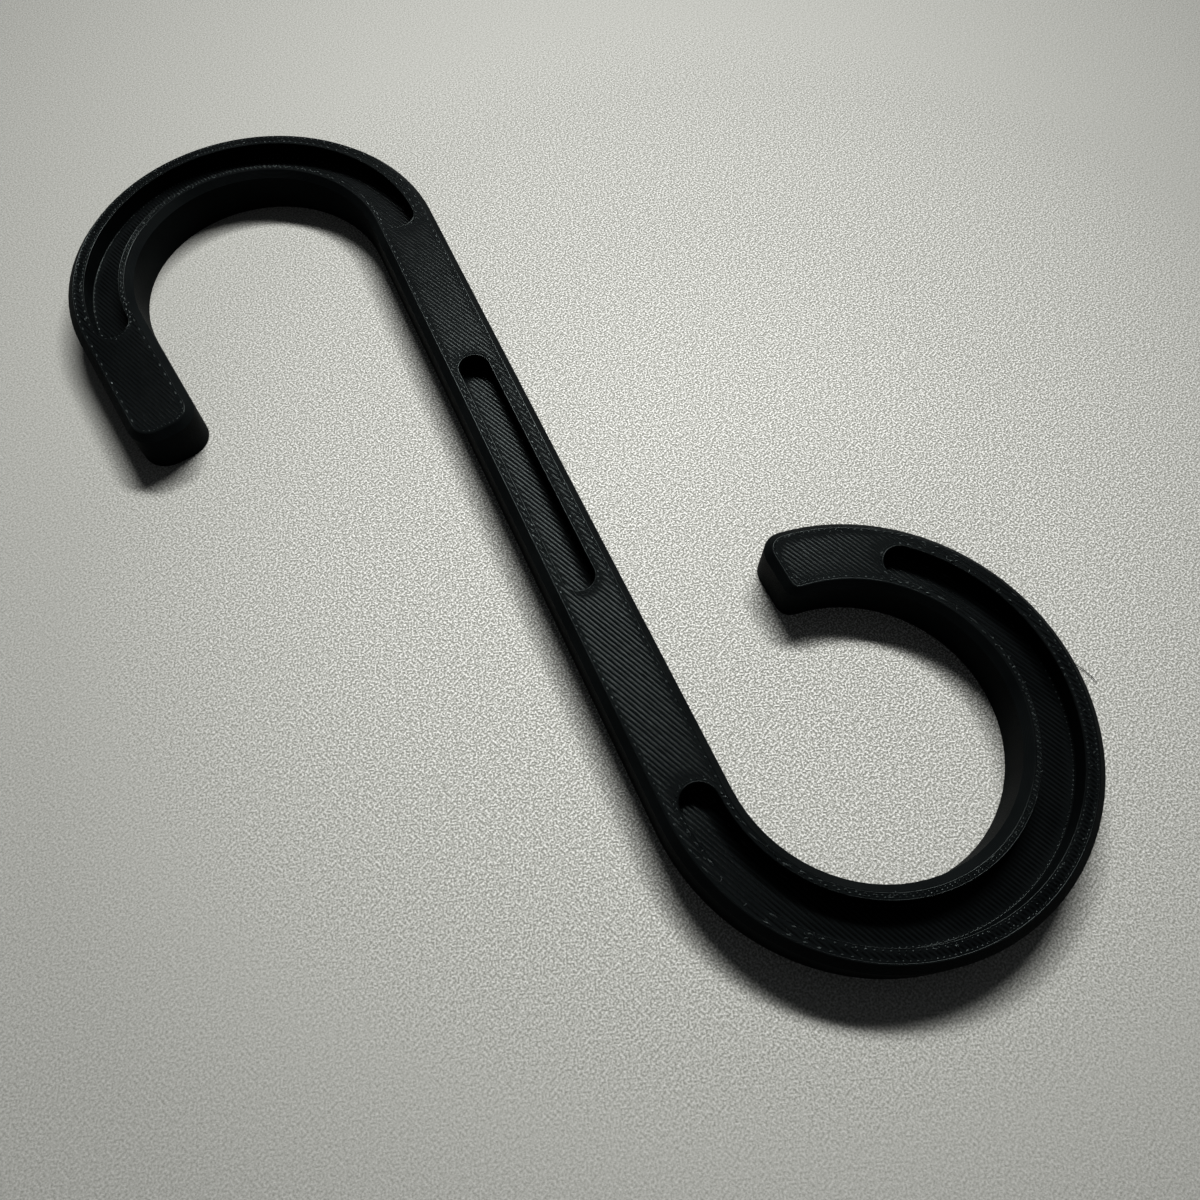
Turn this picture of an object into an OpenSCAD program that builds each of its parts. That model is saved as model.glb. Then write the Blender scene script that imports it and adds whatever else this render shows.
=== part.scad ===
// S hook, printed in one piece, lying flat on its plain back.
// Two equal round hooks are joined by a straight bar that runs tangent to both.
// The upper hook opens downwards and ends in a straight flared tail. The lower hook
// runs on round to a short tip. One bevel follows every edge of the face, and
// shallow round-ended pockets are sunk into it. The pockets' floors are flat.
// Frame: X across, Y along the length with the upper hook at +Y, Z up from back to face.
// The origin is on the back, under the middle of the straight bar.

/* [Size] */
// length over both hooks
overall_l = 250; // [235:1:265]
// inside diameter of both hooks
hook_d = 55; // [50:1:58]
// width of the bar, the same all the way along
bar_w = 14.2; // [13:0.1:16]
// thickness from back to face
thick = 10; // [8:0.5:14]

/* [Ends] */
// how far the tail flares out from the length, in degrees
tail_flare = 16; // [8:1:20]
// straight length of the tail
tail_l = 33.5; // [20:0.5:45]
// corner radius of the tail's end
tail_round = 5.5; // [2.5:0.5:6]
// how far round the lower hook runs past its rightmost point, in degrees
tip_angle = 66; // [50:1:72]
// corner radius of the tip's outer corner
tip_outer_round = 4.5; // [2.5:0.5:6]
// corner radius of the tip's inner corner
tip_inner_round = 3; // [2.5:0.5:4]

/* [Face] */
// bevel along every edge of the face
bevel = 1.4; // [0.5:0.1:1.8]
// depth of the pockets below the face
pocket_depth = 4; // [1:0.5:5]
// width of the two curved pockets
groove_w = 7.3; // [5:0.1:7.5]
// width of the straight pocket
slot_w = 6.6; // [4:0.1:7.5]
// length of the straight pocket over its round ends
slot_l = 61; // [30:1:100]
// how far the pockets lie inwards of the bar's middle line
pocket_shift = 0.6; // [0:0.1:0.8]
// where the lower curved pocket stops on the tip's side, in degrees
groove_end = 23.5; // [10:0.5:30]

/* [Hidden] */
$fn = 96;
in_r = hook_d / 2;
out_r = in_r + bar_w;
mid_r = in_r + bar_w / 2;
// the hook centres lie on the Y axis at this distance from the origin
centre_y = overall_l / 2 - out_r;
// lean and length of the bar that is tangent to both middle circles
lean = asin(mid_r / centre_y);
bar_l = 2 * sqrt(centre_y * centre_y - mid_r * mid_r);
// the upper hook's bend stops where the tail sets off
tail_start = 180 - tail_flare;
groove_r = mid_r - pocket_shift;
floor_z = thick - pocket_depth;
over = 0.8;
// a straight length is let into a bend by this much, and lengths and corners are a
// hair slimmer than what they run into, so that they join cleanly
lap = 0.1;
hair = 0.01;
// the curved pockets' walls stop this many degrees inside their round ends
set_in = 0.3;

// ---- the bar ----

// cross-section of the bar, middle line at 0, back at the bottom; it stands over at
// the back and the face, which are trimmed level in one go
module bar_section(w) {
    top = w / 2 - bevel - over;
    polygon([
        [-w / 2, -over],
        [w / 2, -over],
        [w / 2, thick - bevel],
        [top, thick + over],
        [-top, thick + over],
        [-w / 2, thick - bevel]
    ]);
}

// the bar bent round a hook centre from angle a to angle b
module bent_bar(a, b) {
    rotate([0, 0, a])
        rotate_extrude(angle = b - a)
            translate([mid_r, 0]) bar_section(bar_w);
}

// the bar running straight from y = from down to y = to
module straight_bar(from, to) {
    translate([0, from, 0])
        rotate([90, 0, 0])
            linear_extrude(height = from - to) bar_section(bar_w - 2 * hair);
}

// what is trimmed off the back and the face
module trimmings() {
    side = 2 * overall_l;
    for (z = [-2 * over, thick])
        translate([-side / 2, -side / 2, z]) cube([side, side, 2 * over]);
}

// ---- the ends ----

// what a round corner takes off, between the directions a and b
module corner_waste(r, a, b) {
    reach = 2 * r;
    in = r - 2 * hair;
    m = (a + b) / 2;
    difference() {
        translate([0, 0, -2 * over])
            linear_extrude(height = thick + 4 * over)
                polygon([
                    [0, 0],
                    [reach * cos(a), reach * sin(a)],
                    [reach * cos(m), reach * sin(m)],
                    [reach * cos(b), reach * sin(b)]
                ]);
        translate([0, 0, -3 * over])
            cylinder(r = in, h = thick - bevel + 3 * over);
        translate([0, 0, thick - bevel])
            cylinder(r1 = in, r2 = in - bevel - over / 2, h = bevel + over / 2);
    }
}

// what the bevel takes off an end wall that faces +Y at y = 0
module end_bevel_waste() {
    translate([0, -bevel / 2, thick - bevel / 2])
        rotate([45, 0, 0])
            translate([-bar_w / 2 - over, 0, -bevel])
                cube([bar_w + 2 * over, 2 * bevel, 2 * bevel]);
}

// the tail's end, seen from the upper hook's centre with the tail along -Y
module tail_end_waste() {
    c = bar_w / 2 - tail_round;
    translate([-mid_r, -tail_l, 0]) {
        rotate([0, 0, 180]) end_bevel_waste();
        translate([-c, tail_round, 0]) corner_waste(tail_round, 180, 270);
        translate([c, tail_round, 0]) corner_waste(tail_round, 270, 360);
    }
}

// the tip's end, seen from the lower hook's centre with the end wall on the X axis
module tip_end_waste() {
    outer_c = out_r - tip_outer_round;
    outer_a = asin(tip_outer_round / outer_c);
    inner_c = in_r + tip_inner_round;
    inner_a = asin(tip_inner_round / inner_c);
    translate([mid_r, 0, 0]) end_bevel_waste();
    translate([outer_c * cos(outer_a), -tip_outer_round, 0])
        corner_waste(tip_outer_round, -outer_a, 90);
    translate([inner_c * cos(inner_a), -tip_inner_round, 0])
        corner_waste(tip_inner_round, 90, 180 - inner_a);
}

// ---- the pockets ----

// curved pocket round a hook centre, its round ends centred at angles a and b
module groove(a, b) {
    translate([0, 0, floor_z]) {
        rotate([0, 0, a + set_in])
            rotate_extrude(angle = b - a - 2 * set_in)
                translate([groove_r - groove_w / 2, 0])
                    square([groove_w, pocket_depth + over]);
        // each round end starts its circle from inside the pocket
        for (end = [[a, 90], [b, -90]])
            rotate([0, 0, end[0]]) translate([groove_r, 0, 0]) rotate([0, 0, end[1]])
                cylinder(r = groove_w / 2 - hair, h = pocket_depth + over);
    }
}

// straight pocket in the middle of the bar
module slot() {
    run = slot_l - slot_w;
    translate([-pocket_shift, 0, floor_z]) {
        translate([-slot_w / 2, -run / 2, 0])
            cube([slot_w, run, pocket_depth + over]);
        for (side = [-1, 1])
            translate([0, side * run / 2, 0]) rotate([0, 0, -90 * side])
                cylinder(r = slot_w / 2 - hair, h = pocket_depth + over);
    }
}

// ---- the hook ----

module s_hook() {
    color([0.1, 0.1, 0.11])
    difference() {
        difference() {
            union() {
                rotate([0, 0, -lean]) straight_bar(bar_l / 2 + lap, -bar_l / 2 - lap);
                translate([0, centre_y, 0]) {
                    bent_bar(-lean, tail_start);
                    rotate([0, 0, -tail_flare])
                        translate([-mid_r, 0, 0]) straight_bar(lap, -tail_l);
                }
                translate([0, -centre_y, 0]) bent_bar(180 - lean, 360 + tip_angle);
            }
            trimmings();
        }
        rotate([0, 0, -lean]) slot();
        translate([0, centre_y, 0]) {
            groove(-lean, tail_start);
            rotate([0, 0, -tail_flare]) tail_end_waste();
        }
        translate([0, -centre_y, 0]) {
            groove(180 - lean, 360 + groove_end);
            rotate([0, 0, tip_angle]) tip_end_waste();
        }
    }
}

s_hook();
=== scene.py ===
# %% [markdown]
# # A printed S hook, dressed
# A flat S hook, printed in black plastic, lies face up on a pale table top. The frame brings
# in the solid hook with its true size and edges. A solid is smooth all over, and a print isn't:
# it shows the lines of plastic that it was laid down in. This script lays those lines on the
# face and on the floors of the pockets as real beads. Then come the plastic, the table top,
# the light and the camera.

# %% Start from the frame
import math
import bpy
import numpy as np
from mathutils import Euler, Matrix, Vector


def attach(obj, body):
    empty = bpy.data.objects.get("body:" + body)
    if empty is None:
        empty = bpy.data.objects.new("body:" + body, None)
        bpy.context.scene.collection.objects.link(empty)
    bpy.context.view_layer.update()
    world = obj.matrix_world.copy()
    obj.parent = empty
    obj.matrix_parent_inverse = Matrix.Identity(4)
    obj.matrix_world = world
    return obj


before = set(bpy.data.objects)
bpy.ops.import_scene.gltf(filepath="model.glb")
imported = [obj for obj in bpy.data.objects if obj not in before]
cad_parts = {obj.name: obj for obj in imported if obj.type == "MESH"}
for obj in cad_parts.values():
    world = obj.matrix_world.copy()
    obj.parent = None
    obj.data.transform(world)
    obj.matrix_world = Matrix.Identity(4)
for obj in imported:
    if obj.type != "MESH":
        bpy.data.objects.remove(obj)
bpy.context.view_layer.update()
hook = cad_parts["s_hook"]

# %% [markdown]
# ## The hook's own sizes
# The printed lines follow the hook's edges, so this script needs the sizes that drive the
# solid. The edges could be read back from the solid's mesh, but a few circles and straights
# give cleaner paths that can be moved in or out. Sizes are in millimetres, as a maker would
# say them, and go to metres only when a mesh is made.

# %% Sizes
MM = 0.001
overall_l = 250.0
hook_d = 55.0
bar_w = 14.2
thick = 10.0
tail_flare = 16.0
tail_l = 33.5
tail_round = 5.5
tip_angle = 66.0
tip_outer_round = 4.5
tip_inner_round = 3.0
bevel = 1.4
pocket_depth = 4.0
groove_w = 7.3
slot_w = 6.6
slot_l = 61.0
pocket_shift = 0.6
groove_end = 23.5

in_r = hook_d / 2
out_r = in_r + bar_w
mid_r = in_r + bar_w / 2
centre_y = overall_l / 2 - out_r
lean = math.degrees(math.asin(mid_r / centre_y))
groove_r = mid_r - pocket_shift
face_z = thick
floor_z = thick - pocket_depth
upper = np.array([0.0, centre_y])
lower = np.array([0.0, -centre_y])
print("the two hooks are", round(2 * centre_y, 1), "mm apart and the bar leans", round(lean, 2))

# %% [markdown]
# ## Circles and corners
# Every edge of the hook is made of round pieces, and straight lines join their ends. So three
# small tools are enough: a point at an angle, an arc of short steps, and a turn of a path.

# %% Path tools
arc_step = 0.5
fewest_steps = 4


def polar(radius, angle):
    a = math.radians(angle)
    return radius * np.array([math.cos(a), math.sin(a)])


def arc(centre, radius, start, stop):
    n = max(fewest_steps, int(abs(math.radians(stop - start)) * radius / arc_step))
    a = np.radians(np.linspace(start, stop, n))
    return np.stack([centre[0] + radius * np.cos(a), centre[1] + radius * np.sin(a)], 1)


def turn(points, angle, centre=(0.0, 0.0)):
    """Turn points by angle degrees about zero, then move them to centre."""
    a = math.radians(angle)
    x, y = points[:, 0], points[:, 1]
    turned = [x * math.cos(a) - y * math.sin(a), x * math.sin(a) + y * math.cos(a)]
    return np.stack(turned, 1) + np.array(centre)


print("a full turn inside a hook takes", len(arc(upper, in_r, 0, 360)), "points")

# %% [markdown]
# ## Edge of the bar
# The outline is one closed path: over the upper hook, round its tail, back inside it, down the
# bar, and round the lower hook to its tip and back. It can be asked for at any distance inside
# the bar's edge, because the nozzle runs along it a little way in. An inset moves each radius
# by itself, which keeps the path exact where a general offset tool would only come near.

# %% Outline
def outline(inset):
    """The bar's outline, moved inwards."""
    i, o = in_r + inset, out_r - inset
    tail_y = tail_round - tail_l
    tail = np.concatenate([
        arc((tail_round - out_r, tail_y), tail_round - inset, 180, 270),
        arc((-in_r - tail_round, tail_y), tail_round - inset, 270, 360),
    ])
    outer_c, inner_c = out_r - tip_outer_round, in_r + tip_inner_round
    outer_a = tip_angle - math.degrees(math.asin(tip_outer_round / outer_c))
    inner_a = tip_angle - math.degrees(math.asin(tip_inner_round / inner_c))
    outer_corner = lower + polar(outer_c, outer_a)
    inner_corner = lower + polar(inner_c, inner_a)
    return np.concatenate([
        arc(upper, o, -lean, 180 - tail_flare),
        turn(tail, -tail_flare, upper),
        arc(upper, i, 180 - tail_flare, -lean),
        arc(lower, o, 180 - lean, 360 + outer_a),
        arc(outer_corner, tip_outer_round - inset, outer_a, tip_angle + 90),
        arc(inner_corner, tip_inner_round - inset, tip_angle + 90, inner_a + 180),
        arc(lower, i, 360 + inner_a, 180 - lean),
    ])


print("the outline has", len(outline(0)), "points")

# %% [markdown]
# ## Edges of the pockets
# A groove follows each hook, and a straight slot lies in the bar. All three have round ends.
# Their rims can be asked for at any distance outside the pocket, or inside it with a minus.

# %% Pocket rims
def groove_rim(centre, start, stop, grow):
    half = groove_w / 2 + grow
    return np.concatenate([
        arc(centre, groove_r + half, start, stop),
        arc(centre + polar(groove_r, stop), half, stop, stop + 180),
        arc(centre, groove_r - half, stop, start),
        arc(centre + polar(groove_r, start), half, start + 180, start + 360),
    ])


def slot_rim(grow):
    half, run = slot_w / 2 + grow, (slot_l - slot_w) / 2
    rim = np.concatenate([
        arc((-pocket_shift, run), half, 0, 180),
        arc((-pocket_shift, -run), half, 180, 360),
    ])
    return turn(rim, -lean)


def pocket_rims(grow):
    """The rims of all three pockets, moved outwards by grow: two grooves and the slot."""
    return [
        groove_rim(upper, -lean, 180 - tail_flare, grow),
        groove_rim(lower, 180 - lean, 360 + groove_end, grow),
        slot_rim(grow),
    ]


print("the pockets' rims have", [len(rim) for rim in pocket_rims(0)], "points")

# %% [markdown]
# ## A bead of plastic
# The nozzle lays a flattened bead with round shoulders. A bump in the material could draw it,
# but real beads cast shadows and catch a low light on one side, so each one is a strip that
# follows a path, low at both edges and level in the middle. It stands a little into the solid,
# and an open one tapers off at its ends. A tilted bead leans over to its right-hand side. All
# beads of a kind go into one mesh, because thousands of small objects would be slow.

# %% Bead maker
line_w = 0.40
bead_h = 0.055
sink = 0.02
end_taper = 0.1
usual_uneven = 0.06
profile = np.array([[-1, 0], [-0.75, 0.7], [-0.25, 1], [0.25, 1], [0.75, 0.7], [1, 0]])
rng = np.random.default_rng(5)


class Beads:
    """Collects beads and turns them into one mesh."""

    def __init__(self):
        self.verts, self.faces, self.count = [], [], 0

    def add(self, path, z, width, height, tilt=0.0, closed=False, uneven=usual_uneven):
        n, k = len(path), len(profile)
        ahead = np.roll(path, -1, 0) - path
        behind = path - np.roll(path, 1, 0)
        if not closed:
            ahead[-1], behind[0] = behind[-1], ahead[0]
        along = ahead / np.linalg.norm(ahead, axis=1)[:, None]
        along += behind / np.linalg.norm(behind, axis=1)[:, None]
        along /= np.linalg.norm(along, axis=1)[:, None]
        side = np.stack([along[:, 1], -along[:, 0]], 1)
        swell = np.ones(n)
        if not closed:
            swell[[0, -1]] = end_taper
        half = 0.5 * width * swell
        tall = height * swell * (1 + uneven * rng.standard_normal(n))
        xy = path[:, None] + side[:, None] * (half[:, None] * profile[:, 0])[:, :, None]
        lean_over = 1 - math.tan(math.radians(tilt)) * 0.5 * width * profile[:, 0] / bead_h
        zz = z - sink + (tall[:, None] + sink) * profile[:, 1] * lean_over
        self.verts.append(np.concatenate([xy, zz[:, :, None]], 2).reshape(-1, 3))
        rows = np.arange(n if closed else n - 1)
        a = (rows[:, None] * k + np.arange(k - 1)).ravel()
        b = (((rows + 1) % n)[:, None] * k + np.arange(k - 1)).ravel()
        self.faces.append(np.stack([a, a + 1, b + 1, b], 1) + self.count)
        self.count += n * k

    def piece(self, name):
        mesh = bpy.data.meshes.new(name)
        verts = np.concatenate(self.verts) * MM
        faces = np.concatenate(self.faces)
        mesh.from_pydata(verts.tolist(), [], faces.tolist())
        mesh.shade_smooth()
        obj = bpy.data.objects.new(name, mesh)
        bpy.context.scene.collection.objects.link(obj)
        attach(obj, "root")
        print(name, "has", len(faces), "faces")
        return obj


print("a full line is", line_w, "mm wide and stands", bead_h, "mm high")

# %% [markdown]
# ## Where a line starts and stops
# The nozzle goes up and down the length of the hook, parallel to Y, and works only inside the
# area to fill. An upright line crosses the edges of that area an even number of times, so it
# lies inside between the first and second crossing, the third and fourth, and so on. Counting
# crossings is simple and works with any number of pockets.

# %% Crossings
def crossings(paths, x):
    """Where the closed paths cross the upright line at x, from low to high."""
    hits = []
    for path in paths:
        a, b = path, np.roll(path, -1, 0)
        cut = (a[:, 0] > x) != (b[:, 0] > x)
        a, b = a[cut], b[cut]
        hits.append(a[:, 1] + (x - a[:, 0]) / (b[:, 0] - a[:, 0]) * (b[:, 1] - a[:, 1]))
    return np.sort(np.concatenate(hits))


print("a line up the middle crosses the outline at", crossings([outline(0)], 0.0).round(1))

# %% [markdown]
# ## One filling line
# A printed line is never quite straight or even, so it is laid in short legs whose joints lie
# at chance heights and stray a little sideways. That breaks up the light along it.

# %% Straight line
pair_w = 0.34
leg_l = 2.5
leg_slip = 0.4
stray = 0.012


def straight_line(beads, x, low, high, z, height, tilt):
    legs = max(2, round((high - low) / leg_l))
    y = np.linspace(low, high, legs + 1)
    y = np.concatenate([[low], y[1:-1] + rng.uniform(-leg_slip, leg_slip, legs - 1), [high]])
    wave = stray * rng.standard_normal(legs + 1)
    beads.add(np.stack([x + wave, y], 1), z, pair_w, height, tilt)


print("a filling line is", pair_w, "mm wide and bends about every", leg_l, "mm")

# %% [markdown]
# ## The filling lines
# Where a line meets the edge of the area, the nozzle turns and comes back beside itself. So
# the lines lie in pairs with a deeper gap between two pairs, and each turn leaves a small
# lump. The line laid first is pressed down by the second, so it is lower and leans the other
# way. This difference is what makes the pairs stand out under one light.

# %% Filling lines
pair_pitch = 2 * line_w
pair_gap = 0.26
first_h, second_h = 0.35 * bead_h, bead_h
first_tilt, second_tilt = -22, 8
shortest = 2 * line_w
turn_w = 0.46
turn_h = 0.20
turn_reach = 2.5
turn_uneven = 0.25


def turn_lump(turns, x1, y1, x2, y2, z):
    path = np.array([[x1, y1], [0.5 * (x1 + x2), 0.5 * (y1 + y2)], [x2, y2]])
    turns.add(path, z, turn_w, turn_h, uneven=turn_uneven)


def fill(beads, turns, paths, z):
    """Pairs of upright lines between the paths, with a turn at each end."""
    reach = int(2 * out_r / pair_pitch)
    for k in range(-reach, reach):
        x1, x2 = (k * pair_pitch + s * pair_gap / 2 for s in (-1, 1))
        hits1, hits2 = crossings(paths, x1), crossings(paths, x2)
        for x, hits, height, tilt in ((x1, hits1, first_h, first_tilt),
                                      (x2, hits2, second_h, second_tilt)):
            for low, high in zip(hits[::2], hits[1::2]):
                if high - low > shortest:
                    straight_line(beads, x, low, high, z, height, tilt)
        for ends1, ends2 in ((hits1[::2], hits2[::2]), (hits1[1::2], hits2[1::2])):
            for y in ends1:
                near = ends2[np.abs(ends2 - y) < turn_reach]
                if len(near):
                    turn_lump(turns, x1, y, x2, near[np.argmin(np.abs(near - y))], z)


print("one pair of lines follows another every", pair_pitch, "mm")

# %% [markdown]
# The face is filled between its outline and the mouths of the pockets, and then the floors of
# the pockets are filled on their own. The lines stop short of each edge by about one line,
# which leaves room for the line that runs along the edge.

# %% Fill the face and the floors
face_margin = 1.4 * line_w
mouth_margin = 1.3 * line_w
floor_margin = 0.9 * line_w

lines, turns = Beads(), Beads()
fill(lines, turns, [outline(bevel + face_margin)] + pocket_rims(mouth_margin), face_z)
fill(lines, turns, pocket_rims(-floor_margin), floor_z)
filling = lines.piece("filling_lines")

# %% [markdown]
# ## The edge lines
# One line runs round the face just inside its bevel, one round each pocket's mouth and one
# round each pocket's floor. They are the same beads on closed paths. Long straights are cut
# into short steps first, so that the bead can vary in height along them too.

# %% Edge lines
edge_w = 0.5 * line_w
edge_low, edge_high = 0.3 * bead_h, 0.8 * bead_h
edge_uneven = 0.3
edge_step = 0.8
same_place = 1e-4


def even_steps(path):
    """The closed path without double points, and with its long steps cut up."""
    steps = np.linalg.norm(np.roll(path, -1, 0) - path, axis=1)
    path = path[steps > same_place]
    parts = []
    for p, q in zip(path, np.roll(path, -1, 0)):
        pieces = max(1, int(np.linalg.norm(q - p) / edge_step))
        parts.append(p + np.linspace(0, 1, pieces, endpoint=False)[:, None] * (q - p))
    return np.concatenate(parts)


edge_rows = [(outline(bevel + 0.5 * line_w), face_z, edge_low)]
edge_rows += [(rim, face_z, edge_high) for rim in pocket_rims(0.3 * line_w)]
edge_rows += [(rim, floor_z, edge_low) for rim in pocket_rims(-0.5 * line_w)]
edges = Beads()
for path, z, height in edge_rows:
    edges.add(even_steps(path), z, edge_w, height, closed=True, uneven=edge_uneven)
edging = edges.piece("edge_lines")

# %% [markdown]
# ## Scraps
# Small curls of plastic are left where the nozzle lifts off, mostly along the two grooves and
# now and then elsewhere. They could be scattered by a particle system, but a seeded draw puts
# them along the edges, where they belong, and gives the same ones each time.

# %% Scraps
scrap_w = 0.14
scrap_h = 0.12
scrap_l = (0.3, 0.9)
scrap_bend = 1.2
scrap_uneven = 0.2
scatter = 0.3


def curl(start, length, heading, bend, steps=5):
    """A path from start that turns by bend radians along its length."""
    angle = heading + bend * np.linspace(0, 1, steps)
    moves = np.stack([np.cos(angle), np.sin(angle)], 1) * length / steps
    return np.concatenate([[start], start + np.cumsum(moves, 0)])


def scraps(beads, path, every):
    """Short curls on the face along the path, about one for each length every."""
    length = np.linalg.norm(np.roll(path, -1, 0) - path, axis=1).sum()
    places = rng.integers(0, len(path), int(length / every))
    for i in places:
        start = path[i] + rng.uniform(-scatter, scatter, 2)
        heading = rng.uniform(0, 2 * math.pi)
        bend = rng.uniform(-scrap_bend, scrap_bend)
        path_of_scrap = curl(start, rng.uniform(*scrap_l), heading, bend)
        beads.add(path_of_scrap, face_z, scrap_w, scrap_h, uneven=scrap_uneven)
    print("scraps along an edge of", round(length), "mm:", len(places))


edge_gap = 0.8
upper_mouth, lower_mouth, slot_mouth = pocket_rims(edge_gap)
for path, every in ((upper_mouth, 3.0), (lower_mouth, 3.0), (slot_mouth, 9.0),
                    (outline(bevel + edge_gap), 7.0)):
    scraps(turns, path, every)

# %% [markdown]
# One longer hair sticks out of the lower hook's side, just above the table. It is a curl too,
# only longer and thinner. It goes in with the turns and scraps, because all of them are lumps
# of the same plastic that catch the light.

# %% Stray hair
hair_start = lower + polar(out_r, -24)
hair_l = 12.5
hair_heading, hair_bend = math.radians(-55), math.radians(-53)
hair_z, hair_w, hair_h = 0.25, 0.16, 0.05
turns.add(curl(hair_start, hair_l, hair_heading, hair_bend, 12), hair_z, hair_w, hair_h, uneven=0.0)
turning = turns.piece("turns_and_scraps")

# %% [markdown]
# ## Materials
# Two helpers keep the material cells short: one makes a material, and one adds a node with its
# sockets and settings filled in. A third lays two tones on a ramp, which both the plastic and
# the table need.

# %% Material tools
def new_material(name):
    mat = bpy.data.materials.new(name)
    mat.use_nodes = True
    tree = mat.node_tree
    return mat, tree.nodes, tree.links, tree.nodes["Principled BSDF"]


def add(nodes, kind, **values):
    """A new node, with its named inputs or settings filled in."""
    node = nodes.new(kind)
    for key, value in values.items():
        if key in node.inputs:
            node.inputs[key].default_value = value
        else:
            setattr(node, key, value)
    return node


def two_tones(nodes, *stops):
    """A ramp between two stops, each a place and a colour."""
    ramp = add(nodes, "ShaderNodeValToRGB")
    for element, (place, colour) in zip(ramp.color_ramp.elements, stops):
        element.position = place
        element.color = colour
    return ramp


# %% [markdown]
# ## The skin of the plastic
# Black filament is cloudy when seen close, finely grained, and ridged up its walls by the
# layers, 0.2 mm each. All three plastic finishes below share this skin, so it is one node
# group. The grain and the layers are too fine to be worth a mesh, so they are bumps. The group
# gives only a colour and a normal, and each material keeps its own shader.

# %% Plastic skin
cloud_size = 90.0
dark_black = (0.0006, 0.0008, 0.0009, 1)
light_black = (0.0012, 0.0015, 0.0016, 1)
layer_h = 0.2 * MM
layer_relief = 0.03 * MM
grain_size = 2500.0
grain_relief = 0.05 * MM
bump_strength = 0.5


def plastic_skin():
    """A shared group: cloudy black, fine grain, and layer lines up the walls."""
    group = bpy.data.node_groups.new("plastic_skin", "ShaderNodeTree")
    group.interface.new_socket("Lightness", in_out="INPUT", socket_type="NodeSocketFloat")
    group.interface.new_socket("Color", in_out="OUTPUT", socket_type="NodeSocketColor")
    group.interface.new_socket("Normal", in_out="OUTPUT", socket_type="NodeSocketVector")
    nodes, links = group.nodes, group.links
    given, out = nodes.new("NodeGroupInput"), nodes.new("NodeGroupOutput")
    where = add(nodes, "ShaderNodeTexCoord")

    cloud = add(nodes, "ShaderNodeTexNoise", Scale=cloud_size, Detail=4.0)
    links.new(where.outputs["Object"], cloud.inputs["Vector"])
    tone = two_tones(nodes, (0.35, dark_black), (0.65, light_black))
    links.new(cloud.outputs["Fac"], tone.inputs["Fac"])
    # The colour is scaled by a lift. Above 1, as on the walls below, this is a painted sheen.
    sheen_lifted = add(nodes, "ShaderNodeVectorMath", operation="SCALE")
    links.new(tone.outputs["Color"], sheen_lifted.inputs["Vector"])
    links.new(given.outputs["Lightness"], sheen_lifted.inputs["Scale"])
    links.new(sheen_lifted.outputs["Vector"], out.inputs["Color"])

    split = add(nodes, "ShaderNodeSeparateXYZ")
    links.new(where.outputs["Object"], split.inputs["Vector"])
    layer = add(nodes, "ShaderNodeMath", operation="MULTIPLY")
    layer.inputs[1].default_value = 2 * math.pi / layer_h
    links.new(split.outputs["Z"], layer.inputs[0])
    ripple = add(nodes, "ShaderNodeMath", operation="SINE")
    links.new(layer.outputs["Value"], ripple.inputs[0])
    layers = add(nodes, "ShaderNodeBump", Strength=bump_strength, Distance=layer_relief)
    links.new(ripple.outputs["Value"], layers.inputs["Height"])

    grain = add(nodes, "ShaderNodeTexNoise", Scale=grain_size, Detail=2.0)
    links.new(where.outputs["Object"], grain.inputs["Vector"])
    rough = add(nodes, "ShaderNodeBump", Strength=bump_strength, Distance=grain_relief)
    links.new(grain.outputs["Fac"], rough.inputs["Height"])
    links.new(layers.outputs["Normal"], rough.inputs["Normal"])
    links.new(rough.outputs["Normal"], out.inputs["Normal"])
    return group


skin = plastic_skin()
print("the shared group gives", [item.name for item in skin.interface.items_tree])

# %% [markdown]
# ## Three finishes of black
# It is one filament throughout, but its surface differs. The walls were laid layer on layer
# and look dull. Their colour is also lifted 3.5 times, which is a painted sheen standing in for
# the lamps' reflection off their layer ridges. The drawn lines were smoothed by the nozzle and
# shine a little, and the lumps shine most, because each cooled as a round drop. The shine is
# very slightly blue-green.

# %% Black plastic
shine_tint = (0.84, 1.0, 1.0, 1)


def black_plastic(name, sheen_lift, shine, roughness):
    """Black filament with its own shine, over the shared skin."""
    mat, nodes, links, bsdf = new_material(name)
    bsdf.inputs["Roughness"].default_value = roughness
    bsdf.inputs["Specular IOR Level"].default_value = shine
    bsdf.inputs["Specular Tint"].default_value = shine_tint
    coat = add(nodes, "ShaderNodeGroup", node_tree=skin)
    coat.inputs["Lightness"].default_value = sheen_lift
    links.new(coat.outputs["Color"], bsdf.inputs["Base Color"])
    links.new(coat.outputs["Normal"], bsdf.inputs["Normal"])
    return mat


# Painted sheen: the walls' colour is lifted 3.5 times, standing in for the lamps' reflection off
# their layer ridges.
walls = black_plastic("black_plastic_walls", sheen_lift=3.5, shine=0.02, roughness=0.6)
drawn = black_plastic("black_plastic_lines", sheen_lift=1.0, shine=0.155, roughness=0.25)
lumps = black_plastic("black_plastic_lumps", sheen_lift=1.0, shine=0.45, roughness=0.30)
for obj, mat in ((hook, walls), (filling, drawn), (edging, drawn), (turning, lumps)):
    obj.data.materials.clear()
    obj.data.materials.append(mat)
    print(obj.name, "is", mat.name)

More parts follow.
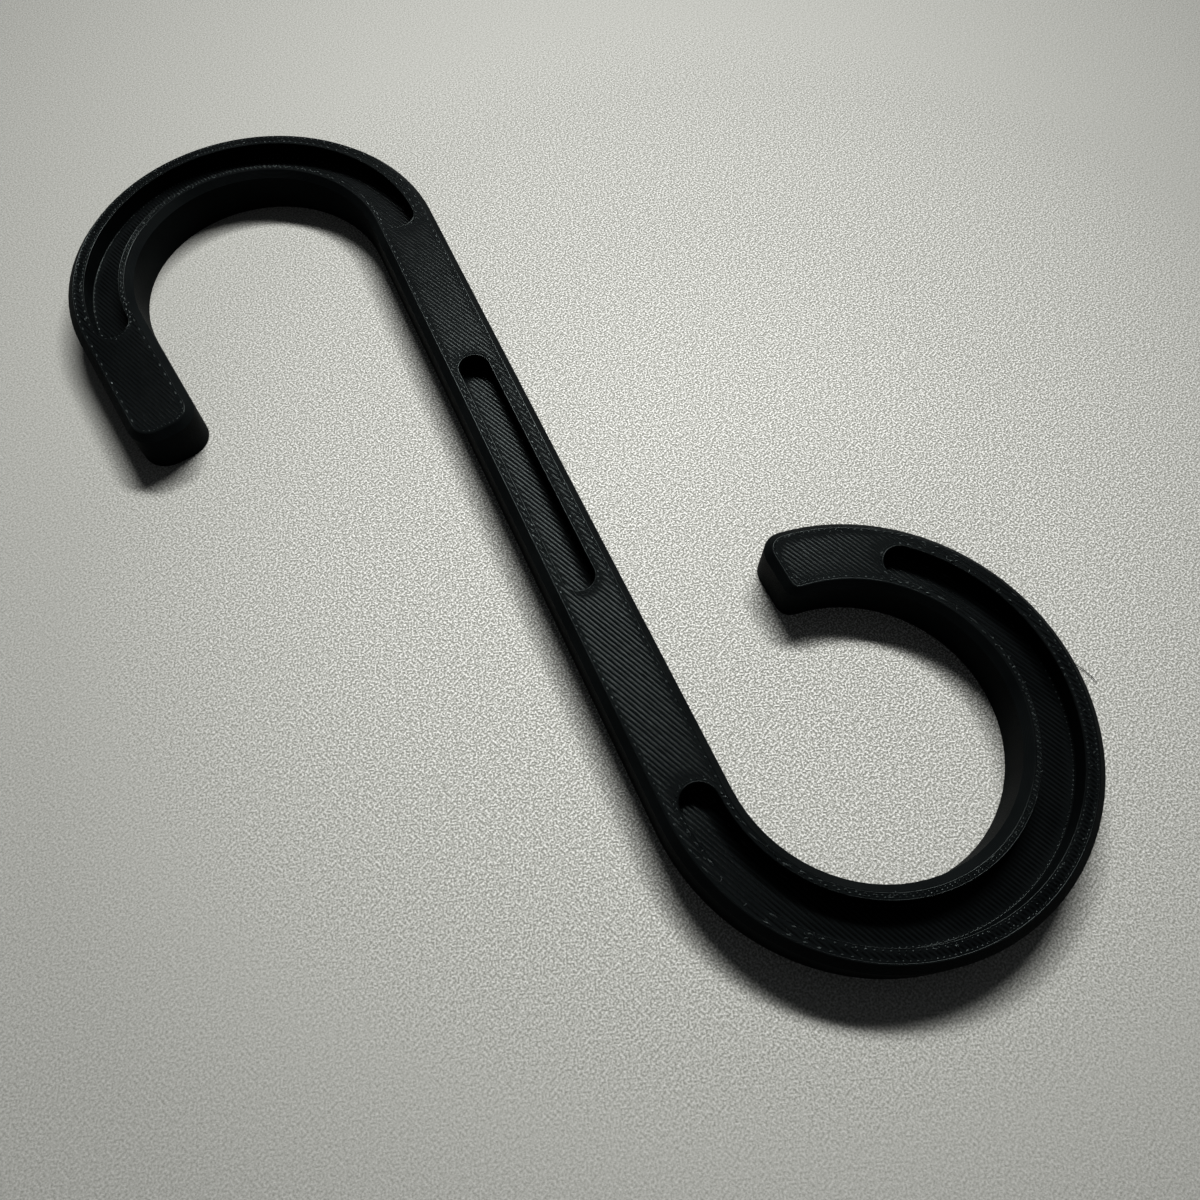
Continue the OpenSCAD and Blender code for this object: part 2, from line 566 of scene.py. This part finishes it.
# %% [markdown]
# ## The table top
# The hook lies on a pale grey laminate with a fine leather grain. The grain is a noise that
# colours the surface and lifts it a little, which is enough at this size, where a modelled
# grain would take millions of faces. Two soft round spots paint light onto it, each a value
# that changes with the distance from its own middle. The first strengthens the grain's colour
# contrast near where the lamps reflect, which is a painted glint, and it strengthens the real
# bump there too. The second darkens the colour outwards, which is a painted fall-off of the
# lamps' pool. They are fixed to the table, so they stay in place from any side.

# %% Table top
table_size = 6.0
bpy.ops.mesh.primitive_plane_add(size=table_size, location=(0, 0, 0))
table = bpy.context.object
table.name = "table_top"
laminate, nodes, links, bsdf = new_material("pale_laminate")
bsdf.inputs["Roughness"].default_value = 0.45
bsdf.inputs["Specular IOR Level"].default_value = 0.15
where = add(nodes, "ShaderNodeTexCoord")


def spot(centre, near, far, inside, outside):
    """A value that goes from inside to outside as the distance from centre grows."""
    away = add(nodes, "ShaderNodeVectorMath", operation="DISTANCE")
    away.inputs[1].default_value = centre
    links.new(where.outputs["Object"], away.inputs[0])
    value = add(nodes, "ShaderNodeMapRange")
    ends = {"From Min": near, "From Max": far, "To Min": inside, "To Max": outside}
    for key, number in ends.items():
        value.inputs[key].default_value = number
    links.new(away.outputs["Value"], value.inputs["Value"])
    return value.outputs["Result"]


# Painted glint: this spot strengthens the grain's colour contrast near the lamps' reflection; the
# bump it also strengthens is real relief.
grain_and_glint_spot = spot((0.040, -0.020, 0.0), near=0.06, far=0.14, inside=1.5, outside=0.25)
# Painted shade: this spot darkens the table's colour outwards, a painted fall-off of the lamps'
# pool.
painted_falloff_spot = spot((0.020, -0.060, 0.0), near=0.05, far=0.15, inside=1.0, outside=0.78)
print("the table is", table_size, "m wide, with", len(nodes), "nodes so far")

# %% Laminate
laminate_relief = 0.3 * MM
dark_grain = (0.33, 0.335, 0.305, 1)
light_grain = (0.92, 0.925, 0.895, 1)

grain = add(nodes, "ShaderNodeTexNoise", Scale=grain_size, Detail=2.0, Roughness=0.5)
links.new(where.outputs["Object"], grain.inputs["Vector"])
# The grain is mixed towards flat away from that spot. In the colour this is a painted glint, and in
# the bump it scales real relief.
grain_with_glints = add(nodes, "ShaderNodeMix", clamp_factor=False, A=0.5)
links.new(grain_and_glint_spot, grain_with_glints.inputs["Factor"])
links.new(grain.outputs["Fac"], grain_with_glints.inputs["B"])
tone = two_tones(nodes, (0.43, dark_grain), (0.66, light_grain))
links.new(grain_with_glints.outputs["Result"], tone.inputs["Fac"])
# Painted shade: the colour is darkened outwards by the fall-off spot.
painted_falloff_colour = add(nodes, "ShaderNodeVectorMath", operation="SCALE")
links.new(tone.outputs["Color"], painted_falloff_colour.inputs["Vector"])
links.new(painted_falloff_spot, painted_falloff_colour.inputs["Scale"])
links.new(painted_falloff_colour.outputs["Vector"], bsdf.inputs["Base Color"])
bump = add(nodes, "ShaderNodeBump", Strength=1.0, Distance=laminate_relief)
links.new(grain_with_glints.outputs["Result"], bump.inputs["Height"])
links.new(bump.outputs["Normal"], bsdf.inputs["Normal"])
table.data.materials.append(laminate)
print("the laminate has", len(nodes), "nodes")

# %% [markdown]
# ## Light
# The light comes from one long soft window. A single long lamp would do, but a row of five
# short ones can bend round the hook, so each stays equally far away. The row stands a little
# more than halfway up the sky. Its length blurs the shadows sideways, and its small height
# keeps them sharp the other way. A dim room fills in the rest.

# %% Light
room_colour = (0.93, 0.96, 1.0, 1)
room_strength = 0.035
lamp_count = 5
lamp_aim = Vector((-0.022, 0.0, 0.0))
lamp_far = 0.75
lamp_rise = math.radians(48.5)
lamp_middle, lamp_apart = 30, 10.5
lamp_l, lamp_h = 0.10, 0.09
lamp_spread = math.radians(76)
lamp_power = 0.288
lamp_colour = (1.0, 0.995, 0.975)

world = bpy.data.worlds.new("room")
bpy.context.scene.world = world
world.use_nodes = True
world.node_tree.nodes["Background"].inputs["Color"].default_value = room_colour
world.node_tree.nodes["Background"].inputs["Strength"].default_value = room_strength
for k in range(lamp_count):
    heading = math.radians(lamp_middle + lamp_apart * (k - (lamp_count - 1) / 2))
    way = Vector((math.cos(heading), math.sin(heading), math.tan(lamp_rise))).normalized()
    lamp = bpy.data.lights.new(f"soft_lamp_{k}", "AREA")
    lamp.shape = "RECTANGLE"
    lamp.size = lamp_l
    lamp.size_y = lamp_h
    lamp.spread = lamp_spread
    lamp.energy = lamp_power
    lamp.color = lamp_colour
    stand = bpy.data.objects.new(f"soft_lamp_{k}", lamp)
    bpy.context.scene.collection.objects.link(stand)
    stand.location = lamp_aim + lamp_far * way
    stand.rotation_euler = way.to_track_quat("Z", "Y").to_euler()
    print(lamp.name, "stands at", [round(v, 3) for v in stand.location])

# %% [markdown]
# ## Camera
# A hand-held camera looks down steeply from close by, which makes the nearer hook look larger
# than the other. The lens is a short one for that reason: a long lens from further away would
# show both hooks the same.

# %% Camera
eye_place = (-0.072, -0.081, 0.1733)
eye_turn = (25.3, -0.3, -49.1)

eye = bpy.data.cameras.new("camera")
eye.sensor_width = 36
eye.lens = 28.74
camera = bpy.data.objects.new("camera", eye)
bpy.context.scene.collection.objects.link(camera)
camera.location = eye_place
camera.rotation_euler = Euler([math.radians(a) for a in eye_turn], "XYZ")
bpy.context.scene.camera = camera
bpy.context.scene.view_settings.view_transform = "Standard"
print("the camera is", round(camera.location.length, 3), "m from the middle of the hook")
